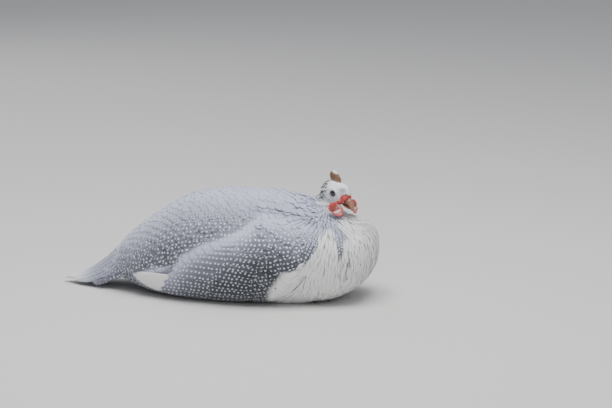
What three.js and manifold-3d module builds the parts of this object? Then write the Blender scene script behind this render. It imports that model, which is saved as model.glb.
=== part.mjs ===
// A helmeted guinea fowl at rest on its belly, life size, in millimetres.
// +X runs forward to the breast, +Y to the bird's left and +Z up. The origin is the middle of the
// belly's flat, on the floor. The bird has drawn its neck in, folded its wings over its flanks, laid
// its tail on the floor and turned its head a little to its right.
import * as THREE from "three";
import { mergeVertices } from "three/addons/utils/BufferGeometryUtils.js";
import Module from "manifold-3d";

const wasm = await Module();
wasm.setup();
const at = (x, y, z) => new THREE.Vector3(x, y, z);

// Clearances: between neighbouring pieces, and how deep a root is sunk into what carries it.
const GAP = 0.35;
const ROOT = 4;

// Driving dimensions of the body, from the breast back to the root of the tail. Each station of the
// trunk is where it lies along X, its back, its keel and its half breadth.
const TRUNK = [
  [200, 78, 72, 0],
  [194, 99, 42, 42],
  [178, 111, 20, 62],
  [150, 119, 4, 76],
  [115, 133, -6, 84],
  [75, 145, -12, 88],
  [25, 148, -15, 90],
  [-25, 147, -15, 89],
  [-70, 136, -12, 83],
  [-110, 112, -4, 72],
  [-145, 86, 8, 54],
  [-172, 62, 21, 36],
  [-186, 44, 36, 0],
];
const ROUND_BACK = 2.1;
const FULL_BELLY = 2.7;
const TAIL_CUT = -160;

// The drawn-in neck, as its middle line and its radius along it.
const NECK_LINE = [at(72, 2, 96), at(104, 1, 106), at(127, 0, 118), at(137, -1, 132)];
const NECK_RADII = [32, 37, 33, 23];

// The head's place, its turn to the right and its dip, and the half sizes of the skull.
const HEAD_AT = at(143, -2, 149);
const HEAD_TURN = THREE.MathUtils.degToRad(-29);
const HEAD_DIP = THREE.MathUtils.degToRad(21);
const SKULL = at(21, 12.4, 14.5);
const EYE_AT = at(2.8, 7.6, 0.8);
const EYE_RADIUS = 6.2;
const EAR_AT = at(-10.5, 11.2, -3.5);
const MOUTH_Z = -6.6;
const MOUTH_DIP = 0.1;

// The wing's own line over the flank from its front end to its tip, and its half depths.
const WING_FRONT = at(120, 0, 76);
const WING_TIP = at(-128, 0, 30);
const WING_UP = [40, 50, 55, 47, 41, 32, 20, 10, 0];
const WING_DOWN = [44, 54, 60, 55, 49, 43, 34, 18, 0];
const WING_THICK = [4, 9, 11, 10, 7, 5, 4, 3, 2];
const LOWEST_FEATHER = 2.5;

// The tail closes like a tent from the rump to its tip on the floor: its ridge, its underside and
// its half breadth from root to tip.
const TAIL_ROOT_X = -140;
const TAIL_TIP_X = -255;
const TAIL_RIDGE = [92, 74, 51, 33, 20, 10.5, 4];
const TAIL_UNDER = [22, 15, 8, 4, 2.4, 1.8, 1.5];
const TAIL_HALF = [54, 45, 36, 29, 22, 14, 7];

// The legs, folded under the belly: the hock, the foot's joint and the toes.
const LEG_APART = 34;
const HOCK_X = 4;
const FOOT_X = 78;
const SHANK_RADIUS = 5;
const TOES = [
  // how far the toe turns out, its length and its radius
  [0.42, 34, 3.1],
  [0.03, 47, 3.4],
  [-0.36, 32, 3.1],
  [Math.PI - 0.3, 12, 2.4],
];
const CLAW_LENGTH = 10;

// A closed solid of a geometry. Its faces are turned out if a formula has turned them in.
function solid(geometry) {
  const bare = geometry.clone();
  bare.deleteAttribute("normal");
  bare.deleteAttribute("uv");
  const merged = mergeVertices(bare, 1e-4);
  const vertProperties = merged.attributes.position.array;
  const triVerts = new Uint32Array(merged.index.array);
  const made = new wasm.Manifold(new wasm.Mesh({ numProp: 3, vertProperties, triVerts }));
  if (made.volume() > 0) return made;
  triVerts.reverse();
  return new wasm.Manifold(new wasm.Mesh({ numProp: 3, vertProperties, triVerts }));
}

// A sphere's net laid over a form: place(t, turn) is the point at t from pole to pole, at that turn.
function sculpt(around, along, place) {
  const net = new THREE.SphereGeometry(1, around, along);
  const { position, uv } = net.attributes;
  for (let i = 0; i < position.count; i++) {
    const t = 1 - uv.getY(i);
    const pole = t < 1e-6 || t > 1 - 1e-6;
    const p = place(t, pole ? 0 : uv.getX(i) * 2 * Math.PI);
    position.setXYZ(i, p.x, p.y, p.z);
  }
  return solid(net);
}

// A rounded stem along a line, with its radii along it. Flat squeezes it in height.
function stem(line, radii, around, along, grow = 0, flat = 1) {
  const curve = new THREE.CatmullRomCurve3(line);
  const first = (radii[0] + grow) / curve.getLength();
  const last = (radii[radii.length - 1] + grow) / curve.getLength();
  return sculpt(around, along, (t, turn) => {
    const polar = t * Math.PI;
    const u = THREE.MathUtils.clamp((1 - Math.cos(polar)) / 2, 0, 1);
    const round = Math.min(1, Math.sqrt(Math.min(1, u / first) * (2 - Math.min(1, u / first))));
    const close = Math.min(1, Math.sqrt(Math.min(1, (1 - u) / last) * (2 - Math.min(1, (1 - u) / last))));
    const r = (along1(radii, u) + grow) * round * close;
    const tangent = curve.getTangent(u);
    const side = at(0, 0, 1).cross(tangent).normalize();
    const up = tangent.clone().cross(side);
    const ends = grow * (u * 2 - 1);
    return curve
      .getPoint(u)
      .addScaledVector(tangent, ends)
      .addScaledVector(side, r * Math.cos(turn))
      .addScaledVector(up, r * flat * Math.sin(turn));
  });
}

// A row of numbers read smoothly at u from 0 to 1.
function along1(row, u) {
  const curve = new THREE.SplineCurve(row.map((v, i) => new THREE.Vector2(i, v)));
  return curve.getPoint(THREE.MathUtils.clamp(u, 0, 1)).y;
}

// The largest closed surface of a solid, which drops loose scraps and fills sealed pockets.
function largest(made) {
  return made.decompose().sort((a, b) => b.volume() - a.volume())[0];
}

function join(pieces) {
  return largest(pieces.reduce((sum, piece) => sum.add(piece)));
}

function mirrored(made) {
  return made.mirror([0, 1, 0]);
}

// The trunk. Its back, keel and half breadth are read at t from breast to tail.
const spine = new THREE.CatmullRomCurve3(TRUNK.map(([x, back, keel]) => at(x, back, keel)));
const girth = new THREE.CatmullRomCurve3(TRUNK.map(([x, , , half]) => at(x, half, 0)));

function trunkPoint(t, turn, grow) {
  const { x, y: back, z: keel } = spine.getPoint(t);
  const half = Math.max(0, girth.getPoint(t).y);
  const [c, s] = [Math.cos(turn), Math.sin(turn)];
  const power = 2 / (s > 0 ? ROUND_BACK : FULL_BELLY);
  const side = Math.sign(c) * Math.abs(c) ** power;
  const high = Math.sign(s) * Math.abs(s) ** power;
  const middle = (back + keel) / 2;
  const stretch = grow * Math.cos(t * Math.PI);
  return at(
    x + stretch,
    side * (half + grow),
    middle + high * ((back - keel) / 2 + grow),
  );
}

function trunk(around, along, grow = 0) {
  return sculpt(around, along, (t, turn) => trunkPoint(t, turn, grow));
}

// The trunk's half breadth at a place seen from the side.
function flank(x, z) {
  let [low, high] = [0, 1];
  for (let i = 0; i < 18; i++) {
    const t = (low + high) / 2;
    if (spine.getPoint(t).x > x) low = t;
    else high = t;
  }
  const { y: back, z: keel } = spine.getPoint(low);
  const half = girth.getPoint(low).y;
  const share = THREE.MathUtils.clamp((z - (back + keel) / 2) / ((back - keel) / 2), -0.98, 0.98);
  const power = share > 0 ? ROUND_BACK : FULL_BELLY;
  return half * (1 - Math.abs(share) ** power) ** (1 / power);
}


// How a vane's half width runs from its root to its rounded tip.
const vaneWidth = (t) => [0.5, 0.82, 1, 1, 0.9, 0.42][Math.round(t * 5)];

// A flat feather of even thickness laid on a form, as five strips from root to tip. The form is
// laid(across, t, lift), a point at a height above it, and rise(across, t) is the height of the
// feather's outer face.
function vane(laid, thick, rise) {
  const slab = new THREE.BoxGeometry(2, 1, 1, 1, 5, 1);
  const { position } = slab.attributes;
  for (let i = 0; i < position.count; i++) {
    const across = position.getX(i);
    const t = position.getY(i) + 0.5;
    const p = laid(across * vaneWidth(t), t, rise(across, t) + (position.getZ(i) - 0.5) * thick);
    position.setXYZ(i, p.x, p.y, p.z);
  }
  return solid(slab);
}

// The head, in its own frame: forward along the bill, left and up.
const SOFT_FORMS = [
  // direction, how far it stands out, how wide it spreads
  [at(-0.72, 0, -0.7), 9, 0.62],
  [at(0.93, 0, 0.3), 2.6, 0.4],
  [at(0.62, 0, 0.78), 4.4, 0.5],
  [at(0.5, 0.6, 0.62), 2.4, 0.3],
  [at(0.5, -0.6, 0.62), 2.4, 0.3],
  [at(0.35, 0.6, -0.72), 2.4, 0.4],
  [at(0.35, -0.6, -0.72), 2.4, 0.4],
  [at(0.8, 0, -0.6), 1.5, 0.35],
];

function skull(around, along, grow = 0) {
  return sculpt(around, along, (t, turn) => {
    const polar = t * Math.PI;
    const d = at(Math.cos(polar), Math.sin(polar) * Math.cos(turn), Math.sin(polar) * Math.sin(turn));
    const size = SKULL.clone().addScalar(grow);
    const bumps = SOFT_FORMS.reduce((sum, [toward, high, wide]) => {
      const off = d.distanceTo(toward.clone().normalize()) / wide;
      return sum + high * Math.exp(-off * off);
    }, 0);
    return d.clone().multiply(size).addScaledVector(d, bumps);
  });
}

// Puts a solid made in the head's frame where the head is.
const headMatrix = new THREE.Matrix4()
  .makeRotationZ(HEAD_TURN)
  .multiply(new THREE.Matrix4().makeRotationY(HEAD_DIP))
  .setPosition(HEAD_AT);

function onHead(made) {
  return made.transform(headMatrix.toArray());
}

function ball(x, y, z, r, around = 8, high = 6) {
  return solid(new THREE.SphereGeometry(r, around, high).translate(x, y, z));
}

function ring(place, radius, thick, turnZ, tilt = 0) {
  const torus = new THREE.TorusGeometry(radius, thick, 4, 12);
  torus.rotateX(Math.PI / 2).rotateX(tilt).rotateZ(turnZ);
  return solid(torus.translate(place.x, place.y, place.z));
}

// The head's outer forms: the skull, and on each side the red knob over the nostril and the swollen
// folds round the corner of the mouth.
const KNOBS = [
  [20, 3.4, 1.4, 4.4],
  [18.6, 6.2, -2.6, 3.2],
  [15.6, 8.6, -4.6, 2.8],
  [16.2, 8.4, -8.2, 2.5],
];
function headForms(grow = 0) {
  const parts = [skull(22, 14, grow)];
  for (const [x, y, z, r] of KNOBS) {
    parts.push(ball(x, y, z, r + grow), ball(x, -y, z, r + grow));
  }
  return join(parts);
}

function headSolid() {
  const parts = [headForms()];
  for (const side of [-1, 1]) {
    const lids = at(EYE_AT.x + 1.1, side * (EYE_AT.y + 4), EYE_AT.z + 0.4);
    parts.push(ring(lids, 5, 1.6, side * -0.22, side * 0.14));
    const ear = at(EAR_AT.x, side * EAR_AT.y, EAR_AT.z);
    parts.push(ring(ear, 2.5, 0.9, side * 0.3));
  }
  let made = join(parts);
  for (const side of [-1, 1]) {
    made = made.subtract(eyeSolid(side, GAP));
    made = made.subtract(ball(EAR_AT.x, side * (EAR_AT.y + 0.9), EAR_AT.z, 1.7));
    made = made.subtract(ball(22.6, side * 5.4, -0.2, 1.3));
  }
  return made;
}

function eyeSolid(side, grow = 0) {
  return ball(EYE_AT.x, side * EYE_AT.y, EYE_AT.z, EYE_RADIUS + grow, 12, 9);
}

// The bill's two horny halves, parted along the mouth. The upper one hooks over the lower one's tip.
function billSolid(upper, grow = 0) {
  const line = upper
    ? [at(16, 0, -2.5), at(25, 0, -2.2), at(32, 0, -5.4), at(36, 0, -11.4)]
    : [at(15, 0, -6), at(24, 0, -7.5), at(32.6, 0, -9.4)];
  const form = stem(line, upper ? [6, 5.4, 4, 2] : [5.6, 4.8, 2.6], 12, 9, grow);
  const [low, high] = upper ? [-60, -grow] : [grow - GAP, 60];
  const box = new THREE.BoxGeometry(upper ? 45 : 90, 60, high - low).translate(0, 0, (low + high) / 2);
  return form.subtract(solid(box.rotateY(MOUTH_DIP).translate(upper ? 10.5 : 13, 0, MOUTH_Z)));
}

// The casque: a bony helmet that leans back and hooks at its top.
const CASQUE_LINE = [at(-1, 0, 7), at(-4, 0, 12.5), at(-10, 0, 18), at(-20, 0, 22.5)];
function casqueSolid() {
  const curve = new THREE.CatmullRomCurve3(CASQUE_LINE);
  return sculpt(12, 10, (t, turn) => {
    const u = (1 - Math.cos(t * Math.PI)) / 2;
    const top = Math.max(0, (u - 0.8) / 0.2);
    const close = Math.sqrt(Math.max(0, 1 - top ** 2)) * Math.sqrt(Math.min(1, u / 0.12));
    const back = at(0, 1, 0).cross(curve.getTangent(u)).normalize();
    return curve
      .getPoint(u)
      .addScaledVector(back, along1([8.6, 8, 6.8, 5.4, 4.2], u) * close * Math.cos(turn))
      .add(at(0, along1([6, 5, 4.2, 3.6, 3], u) * close * Math.sin(turn), 0));
  });
}

// A wattle: a cupped lobe that hangs from the corner of the mouth, with a thick, waved rim.
const WATTLE_RIM = [
  at(17, 7, -7.5),
  at(11.5, 18, -8),
  at(13.5, 27.5, -11.5),
  at(24, 25, -18.5),
  at(31, 12, -19.5),
];
function wattleSolid(side) {
  const rim = new THREE.CatmullRomCurve3(WATTLE_RIM, true);
  const middle = at(0, 0, 0);
  WATTLE_RIM.forEach((p) => middle.addScaledVector(p, 1 / WATTLE_RIM.length));
  const [a, b] = [2, 4].map((i) => WATTLE_RIM[i].clone().sub(WATTLE_RIM[0]));
  const up = a.cross(b).normalize();
  up.multiplyScalar(Math.sign(up.z));
  const made = sculpt(22, 8, (t, turn) => {
    // The net's poles are the middles of the two faces, and its turn goes round the rim.
    const reach = Math.sin(t * Math.PI);
    const wave = 1 + 0.035 * Math.sin(turn * 7) * reach;
    const thick = 1.1 + 0.7 * reach ** 2;
    return middle
      .clone()
      .lerp(rim.getPoint(turn / (2 * Math.PI)), reach * wave)
      .addScaledVector(up, 3.6 * reach ** 2 - 2.6 + Math.cos(t * Math.PI) * thick);
  });
  return side > 0 ? made : mirrored(made);
}

// The wing: a thick fore part and tiers of feathers, drawn on the bird's left and mirrored.
const wingLine = WING_TIP.clone().sub(WING_FRONT);
const wingLength = wingLine.length();
wingLine.normalize();
const wingUp = at(wingLine.z, 0, -wingLine.x);

// A place in the wing's outline: u runs back along it, and s from its lower edge to its upper one.
function wingAt(u, s) {
  const off = s * along1(s > 0 ? WING_UP : WING_DOWN, u) * Math.sqrt(Math.min(1, u / 0.12));
  const p = WING_FRONT.clone().lerp(WING_TIP, u).addScaledVector(wingUp, off);
  return at(p.x, 0, Math.max(LOWEST_FEATHER, p.z));
}

// How far the wing's fore part stands off the flank at a place seen from the side.
function coreLift(x, z) {
  const from = at(x, 0, z).sub(WING_FRONT);
  const u = THREE.MathUtils.clamp(from.dot(wingLine) / wingLength, 0.02, 0.98);
  const off = from.dot(wingUp);
  const s = Math.min(1, Math.abs(off) / Math.max(1, along1(off > 0 ? WING_UP : WING_DOWN, u)));
  return 1.2 + along1(WING_THICK, u) * (1 - s * s) ** 0.35;
}

function wingCore() {
  return sculpt(16, 12, (t, turn) => {
    const u = (1 - Math.cos(t * Math.PI)) / 2;
    const p = wingAt(u, Math.cos(turn));
    const high = Math.sin(turn);
    const lift = high > 0 ? 1.2 + along1(WING_THICK, u) * high ** 0.7 : 1.2 + high * (ROOT + 4);
    return at(p.x, flank(p.x, p.z) + lift, p.z);
  });
}

// A feather of the wing between two places seen from the side, lapping over the one below it. It is
// sunk at its root and stands off at its tip.
function wingVane([rootX, rootZ], [tipX, tipZ], width, tier, thick) {
  const root = at(rootX, 0, rootZ);
  const way = at(tipX, 0, tipZ).sub(root);
  const cross = at(-way.z, 0, way.x).normalize();
  const skin = (x, z) => flank(x, z) + coreLift(x, z);
  const laid = (across, t, lift) => {
    const p = root.clone().addScaledVector(way, t).addScaledVector(cross, -across * width);
    const z = Math.max(LOWEST_FEATHER, p.z);
    const steep = (skin(p.x, z + 2) - skin(p.x, z - 2)) / 4;
    const normal = at(0, 1, -steep).normalize();
    return at(p.x, skin(p.x, z), z).addScaledVector(normal, lift);
  };
  return vane(laid, thick, (across, t) => THREE.MathUtils.lerp(-0.3, tier, t) - 0.45 * (across + 1));
}

// Tiers of a wing: how many feathers, the roots and tips of the highest and lowest, their half
// width, how far they stand off at their tips and how thick they are.
const WING_TIERS = [
  [4, [-40, 46], [-134, 31], [-36, 22], [-108, 13], 7.5, 1, 1.4],
  [8, [62, 96], [-12, 86], [14, 16], [-98, 14], 9.5, 1.7, 2.6],
  [7, [86, 88], [34, 88], [42, 12], [-24, 10], 10, 2.2, 3],
];

function wingSolid() {
  const parts = [wingCore()];
  for (const [count, rootHigh, tipHigh, rootLow, tipLow, ...build] of WING_TIERS) {
    for (let i = 0; i < count; i++) {
      const between = (a, b) => a.map((v, k) => THREE.MathUtils.lerp(v, b[k], i / (count - 1)));
      parts.push(wingVane(between(rootHigh, rootLow), between(tipHigh, tipLow), ...build));
    }
  }
  return join(parts);
}

// A point on the tail's tent at u along it, at a turn from its left side over its ridge.
function tailAt(u, turn, lift = 0) {
  const [ridge, under] = [along1(TAIL_RIDGE, u), along1(TAIL_UNDER, u)];
  const middle = (under + ridge) / 2;
  const edge = THREE.MathUtils.lerp(middle, Math.min(under + 3, middle), Math.min(1, u * 2.2));
  const [c, s] = [Math.cos(turn), Math.sin(turn)];
  const peak = THREE.MathUtils.lerp(0.85, 1.35, Math.min(1, u * 2.2));
  const z = s > 0 ? edge + (ridge - edge) * s ** peak : edge + (edge - under) * s;
  const x = THREE.MathUtils.lerp(TAIL_ROOT_X, TAIL_TIP_X, u);
  return at(x, (along1(TAIL_HALF, u) + lift) * c, z + lift * s);
}

function tailCore() {
  return sculpt(16, 9, (t, turn) => {
    const round = (1 - Math.cos(t * Math.PI)) / 2;
    const u = round * TAIL_CORE;
    const p = tailAt(u, turn, -0.4);
    const axis = tailAt(u, 0);
    const close = Math.min(1, Math.sqrt(round / 0.02), Math.sqrt((1 - round) / 0.08));
    return at(p.x, p.y * close, THREE.MathUtils.lerp(axis.z, p.z, close));
  });
}

// The tail's left feathers from the ridge down to the side, each under its inner neighbour.
const TAIL_CORE = 0.93;
const TAIL_FAN = { feathers: 7, from: 84, to: 8, halfSpan: 0.2, shortest: 0.66 };
function tailSolid() {
  const parts = [tailCore()];
  const { feathers, from, to, halfSpan, shortest } = TAIL_FAN;
  for (let i = 0; i < feathers; i++) {
    const share = i / (feathers - 1);
    const turn = THREE.MathUtils.degToRad(THREE.MathUtils.lerp(from, to, share));
    const end = THREE.MathUtils.lerp(1, shortest, share ** 1.5);
    const laid = (across, t, lift) => {
      return tailAt(THREE.MathUtils.lerp(0.06, end, t), turn + across * halfSpan, lift);
    };
    const rise = (across, t) => THREE.MathUtils.lerp(-0.2, 1.4, t) - 0.45 * (across + 1);
    const feather = vane(laid, 1.6, rise);
    parts.push(feather, mirrored(feather));
  }
  return join(parts);
}

// A leg folded under the belly, its shank flat on the floor.
function legSolid(grow = 0) {
  const line = [
    at(HOCK_X + 26, LEG_APART, 24),
    at(HOCK_X, LEG_APART, SHANK_RADIUS + 1),
    at(FOOT_X, LEG_APART - 2, SHANK_RADIUS - 0.5),
  ];
  return stem(line, [9, 6.5, 5, 5], 10, 12, grow);
}

// A toe's root and tip on the floor.
function toeLine([turn, length, r], from = 0, to = 1) {
  const root = at(FOOT_X + 7, LEG_APART - 2, r - 0.3);
  const way = at(Math.cos(turn) * length, Math.sin(turn) * length, 0);
  return [root.clone().addScaledVector(way, from), root.clone().addScaledVector(way, to)];
}

function footSolid(grow = 0) {
  const parts = TOES.map((toe) => {
    const [root, tip] = toeLine(toe);
    const middle = root.clone().lerp(tip, 0.5).add(at(0, 0, 0.8));
    return stem([root, middle, tip], [toe[2] * 1.25, toe[2], toe[2] * 0.8], 7, 7, grow);
  });
  return join(parts);
}

function clawSolid(toe, grow = 0) {
  const [, root] = toeLine(toe, 0, 0.94);
  const [, tip] = toeLine(toe, 0, 1 + CLAW_LENGTH / toe[1]);
  const middle = root.clone().lerp(tip, 0.55).add(at(0, 0, 1.1));
  tip.z = 0.8;
  return stem([root, middle, tip], [1.9, 1.5, 0.7], 7, 6, grow);
}

const floor = solid(new THREE.BoxGeometry(900, 900, 200).translate(0, 0, -100));
const behind = (x) => solid(new THREE.BoxGeometry(400, 400, 400).translate(x - 200, 0, 0));

const clearOf = (made, others) => others.reduce((rest, other) => rest.subtract(other), made);

const head = onHead(headSolid());
const headGrown = onHead(headForms(GAP));
const neckForm = (grow = 0) => stem(NECK_LINE, NECK_RADII, 18, 10, grow);
const trunkGrown = trunk(26, 20, GAP);

const clawsLeft = TOES.map((toe) => largest(clawSolid(toe).subtract(floor)));
const clawsGrown = TOES.map((toe) => clawSolid(toe, GAP));
const footLeft = largest(clearOf(footSolid(), [...clawsGrown, floor]));
const legLeft = largest(clearOf(legSolid(), [footSolid(GAP), ...clawsGrown, floor]));
const footBed = footSolid(GAP).add(clawsGrown.reduce((sum, claw) => sum.add(claw))).hull();
const limbs = [legSolid(GAP), footBed];

const limbRoom = [...limbs, ...limbs.map(mirrored)];
const torso = largest(clearOf(trunk(26, 20), [...limbRoom, floor, behind(TAIL_CUT)]));
const neck = largest(clearOf(neckForm(), [trunkGrown, headGrown]));
const wingLeft = largest(clearOf(wingSolid(), [trunkGrown, floor]));
const rump = trunkGrown.subtract(behind(TAIL_CUT - GAP));
const tail = largest(clearOf(tailSolid(), [rump, floor]));
const [billUpper, billLower] = [true, false].map((upper) => {
  return largest(clearOf(onHead(billSolid(upper)), [headGrown]));
});
const casque = largest(clearOf(onHead(casqueSolid()), [headGrown]));
const billGrown = [true, false].map((upper) => onHead(billSolid(upper, GAP)));
const besideWattles = [headGrown, neckForm(GAP), trunkGrown, ...billGrown];
const [wattleLeft, wattleRight] = [1, -1].map((side) => {
  return largest(clearOf(onHead(wattleSolid(side)), besideWattles));
});

const bird = new THREE.Group();

function add(name, made, colour, roughness) {
  const { vertProperties, triVerts } = made.getMesh();
  const geometry = new THREE.BufferGeometry()
    .setAttribute("position", new THREE.BufferAttribute(vertProperties, 3))
    .setIndex(new THREE.BufferAttribute(triVerts, 1));
  const material = new THREE.MeshStandardMaterial({ color: colour, roughness });
  const mesh = new THREE.Mesh(geometry, material);
  mesh.name = name;
  bird.add(mesh);
}

add("torso", torso, 0x8c909c, 0.9);
add("neck", neck, 0x9a9eaa, 0.9);
add("head", head, 0xdfe6ee, 0.6);
add("eye_left", onHead(eyeSolid(1)), 0x2a211c, 0.15);
add("eye_right", onHead(eyeSolid(-1)), 0x2a211c, 0.15);
add("bill_upper", billUpper, 0x8a5443, 0.45);
add("bill_lower", billLower, 0x8a5443, 0.45);
add("casque", casque, 0x7d5e40, 0.5);
add("wattle_left", wattleLeft, 0xb84444, 0.6);
add("wattle_right", wattleRight, 0xb84444, 0.6);
add("wing_left", wingLeft, 0x777c88, 0.9);
add("wing_right", mirrored(wingLeft), 0x777c88, 0.9);
add("tail", tail, 0xaeb2bf, 0.9);
add("leg_left", legLeft, 0x6b5f55, 0.7);
add("leg_right", mirrored(legLeft), 0x6b5f55, 0.7);
add("foot_left", footLeft, 0x6b5f55, 0.7);
add("foot_right", mirrored(footLeft), 0x6b5f55, 0.7);
clawsLeft.forEach((claw, i) => {
  add(`claw_left_${i + 1}`, claw, 0x3a332e, 0.4);
  add(`claw_right_${i + 1}`, mirrored(claw), 0x3a332e, 0.4);
});

export default bird;
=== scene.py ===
import math

import bmesh
import bpy
import numpy as np
from mathutils import Matrix, Vector
from mathutils.bvhtree import BVHTree


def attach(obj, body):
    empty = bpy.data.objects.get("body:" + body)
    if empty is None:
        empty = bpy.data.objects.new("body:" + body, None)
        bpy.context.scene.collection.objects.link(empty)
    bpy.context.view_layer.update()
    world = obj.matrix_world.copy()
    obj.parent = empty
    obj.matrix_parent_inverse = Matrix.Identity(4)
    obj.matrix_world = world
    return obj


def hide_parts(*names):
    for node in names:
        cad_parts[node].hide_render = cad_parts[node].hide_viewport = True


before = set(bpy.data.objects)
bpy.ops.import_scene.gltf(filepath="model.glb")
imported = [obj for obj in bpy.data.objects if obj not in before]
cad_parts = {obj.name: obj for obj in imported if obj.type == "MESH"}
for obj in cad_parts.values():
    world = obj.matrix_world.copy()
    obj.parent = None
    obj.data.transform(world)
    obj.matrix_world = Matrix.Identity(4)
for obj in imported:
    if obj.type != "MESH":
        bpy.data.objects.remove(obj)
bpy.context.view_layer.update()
scene = bpy.context.scene

# The camera stands 4.2 metres off the bird's right side, a little towards its front and above it, and
# frames the bird as a small long-lens picture does.
azimuth = math.radians(14.0)
elevation = math.radians(11.5)
distance = 4.2
shift_right, shift_up = 0.0959, 0.1218


def placed(name, data):
    """A new object of this mesh, lamp or camera in the scene."""
    made = bpy.data.objects.new(name, data)
    scene.collection.objects.link(made)
    return made


camera_back = Vector((
    math.sin(azimuth) * math.cos(elevation),
    -math.cos(azimuth) * math.cos(elevation),
    math.sin(elevation),
))
camera_right = Vector((math.cos(azimuth), math.sin(azimuth), 0))
camera_up = camera_back.cross(camera_right)
camera_turn = Matrix((camera_right, camera_up, camera_back)).transposed().to_4x4()
camera_data = bpy.data.cameras.new("camera")
camera_data.lens = 176.5
camera_data.sensor_width = 36
camera_data.clip_end = 20
camera = placed("camera", camera_data)
camera_place = camera_right * shift_right + camera_up * shift_up + camera_back * distance
camera.matrix_world = Matrix.Translation(camera_place) @ camera_turn
scene.camera = camera

# The studio: a plain pale floor that the bird lies on, a wide soft light overhead, two weaker ones
# from the camera's side and from behind, and an even pale surrounding.
def piece_from(name, bm):
    """A new object of the mesh that was built, which is freed."""
    mesh = bpy.data.meshes.new(name)
    bm.to_mesh(mesh)
    bm.free()
    return placed(name, mesh)


bm = bmesh.new()
bmesh.ops.create_grid(bm, x_segments=1, y_segments=1, size=6, matrix=Matrix.Translation((0, 0, -0.0003)))
studio_floor = piece_from("studio_floor", bm)
floor_paint = bpy.data.materials.new("studio_floor")
floor_paint.use_nodes = True
floor_shader = floor_paint.node_tree.nodes["Principled BSDF"]
floor_shader.inputs["Base Color"].default_value = (0.62, 0.61, 0.59, 1)
floor_shader.inputs["Roughness"].default_value = 0.85
studio_floor.data.materials.append(floor_paint)

lit_place = Vector((0, 0, 0.08))
for lamp_name, lamp_place, lamp_size, lamp_power in (
    ("overhead", (0.15, -0.35, 2.0), 1.5, 60),
    ("side_fill", (0.9, -2.2, 0.9), 1.4, 10),
    ("back_fill", (-1.4, 1.6, 1.3), 1.4, 10),
):
    lamp_data = bpy.data.lights.new(lamp_name, "AREA")
    lamp_data.size = lamp_size
    lamp_data.energy = lamp_power
    lamp = placed(lamp_name, lamp_data)
    lamp.location = lamp_place
    lamp.rotation_euler = (lit_place - Vector(lamp_place)).to_track_quat("-Z", "Y").to_euler()
world = bpy.data.worlds.new("surrounding")
world.use_nodes = True
surrounding = world.node_tree.nodes["Background"]
surrounding.inputs["Color"].default_value = (0.86, 0.9, 1.0, 1)
surrounding.inputs["Strength"].default_value = 0.42
scene.world = world

# The skin is one closed form under all the feathers: trunk, drawn-in neck, wings, tail and head. It
# lies up to 2.8 mm under the coat, and comes to the surface where the head is bare.
mm = 0.001
head_at = Vector((143 * mm, -2 * mm, 149 * mm))
head_turn = Matrix.Rotation(math.radians(-29), 4, "Z") @ Matrix.Rotation(math.radians(21), 4, "Y")
head_frame = Matrix.Translation(head_at) @ head_turn


def clay(name, nodes):
    """A merged copy of the named solids as one new object."""
    bm = bmesh.new()
    for node in nodes:
        bm.from_mesh(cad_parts[node].data)
    bmesh.ops.remove_doubles(bm, verts=bm.verts, dist=1e-6)
    return piece_from(name, bm)


def finish_modifiers(piece):
    """Bakes a piece's modifiers into its mesh."""
    made = bpy.data.meshes.new_from_object(piece.evaluated_get(bpy.context.evaluated_depsgraph_get()))
    piece.modifiers.clear()
    old, piece.data = piece.data, made
    bpy.data.meshes.remove(old)
    made.name = piece.name


def remould(piece, voxel, smooth):
    """Makes one even, smooth surface of a piece's solids."""
    remesh = piece.modifiers.new("remesh", "REMESH")
    remesh.mode = "VOXEL"
    remesh.voxel_size = voxel
    soften = piece.modifiers.new("soften", "SMOOTH")
    soften.factor = 0.5
    soften.iterations = smooth
    finish_modifiers(piece)
    piece.data.shade_smooth()


def points_of(piece):
    co = np.empty(len(piece.data.vertices) * 3, np.float32)
    piece.data.vertices.foreach_get("co", co)
    return co.reshape(-1, 3).astype(float)


def move_points(piece, co):
    piece.data.vertices.foreach_set("co", co.astype(np.float32).ravel())
    piece.data.update()


def normals_of(piece):
    no = np.empty(len(piece.data.vertices) * 3, np.float32)
    piece.data.vertex_normals.foreach_get("vector", no)
    return no.reshape(-1, 3).astype(float)


def tree_of(piece):
    bm = bmesh.new()
    bm.from_mesh(piece.data)
    tree = BVHTree.FromBMesh(bm)
    bm.free()
    return tree


def in_head_frame(co):
    turn = np.array(head_frame.to_3x3())
    return (co - np.array(head_at)) @ turn / mm


def ease(low, high, value):
    """A smooth step from 0 at low to 1 at high."""
    share = np.clip((value - low) / (high - low), 0, 1)
    return share * share * (3 - 2 * share)


def ridge(distance, at, width):
    """A smooth ridge, 1 where the distance has this value and 0 well away from it."""
    return np.exp(-((distance - at) / width) ** 2)


def distance_to(points, place, stretch=(1, 1, 1)):
    """How far points are from a place, with each direction stretched."""
    return np.linalg.norm((points - np.array(place)) * stretch, axis=1)


def from_head_middle(co):
    """How far places are from the head's middle, in millimetres."""
    return np.linalg.norm(in_head_frame(co) * (0.85, 1, 1), axis=-1)


coat_depth = 2.8 * mm
skin = clay("skin", ["torso", "neck", "wing_left", "wing_right", "tail", "head", "eye_left", "eye_right"])
remould(skin, 3 * mm, 6)
outer = tree_of(skin)

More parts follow.
